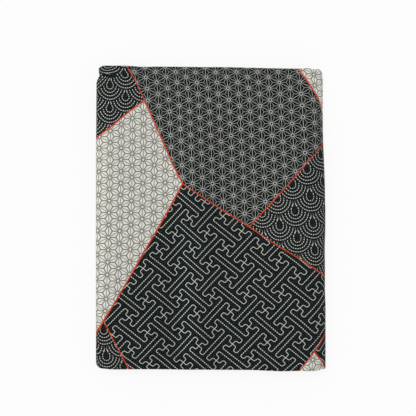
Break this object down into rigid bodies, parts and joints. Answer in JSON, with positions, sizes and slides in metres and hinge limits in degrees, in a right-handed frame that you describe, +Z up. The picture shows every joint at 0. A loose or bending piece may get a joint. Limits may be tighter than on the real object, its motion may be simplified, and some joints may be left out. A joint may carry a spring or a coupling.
{
  "type": "folded futon mattress cover",
  "caption": "Cotton futon mattress cover folded for storage into a flat oblong pack, with a full rounded spine along one long side and tight folds along the other.",
  "frame": {"origin": "middle of the pack's outline, on the surface that it rests on", "axes": "+Z up from the surface to the face that shows, +Y along the pack towards the top edge, +X towards the full spine"},
  "size_m": [0.263, 0.3504, 0.0254],
  "materials": {
    "cotton": "matte printed plain-weave cotton in near-black and pale grey patches with orange seams"
  },
  "bodies": {
    "root": {"cover": "cotton"}
  },
  "joints": []
}
